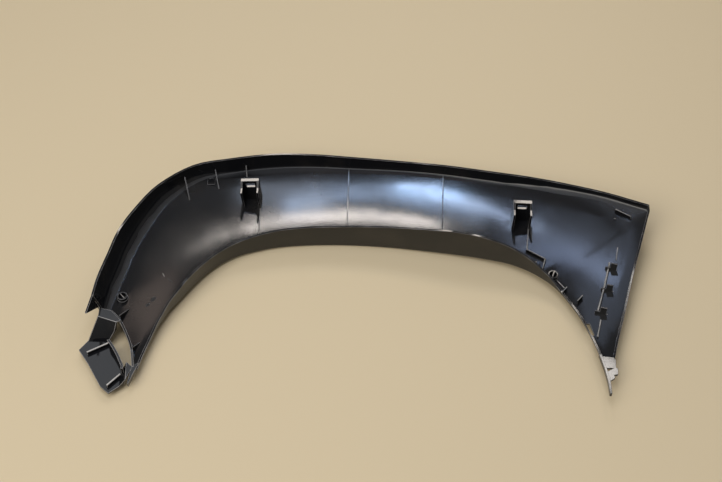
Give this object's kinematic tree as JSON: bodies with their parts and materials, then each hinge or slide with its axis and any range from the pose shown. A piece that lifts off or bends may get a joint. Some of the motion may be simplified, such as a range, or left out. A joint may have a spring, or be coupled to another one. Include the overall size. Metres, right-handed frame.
{
  "type": "pillar trim",
  "caption": "Arched black plastic trim moulding for a car body, hidden side up, with an inner lip, an outer flange, clip towers, ribs, locating bosses and an end bracket.",
  "frame": {"origin": "under the middle of the bounding box, level with the lowest point of the show face", "axes": "+Z along the mould's draw direction, out of the hidden side; +X along the length, towards the wide end with the plain edge; +Y from the open side of the arch towards its crown"},
  "size_m": [0.6546, 0.347, 0.0517],
  "materials": {
    "trim": "satin moulded black"
  },
  "bodies": {
    "root": {"pillar_trim": "trim"}
  },
  "joints": []
}
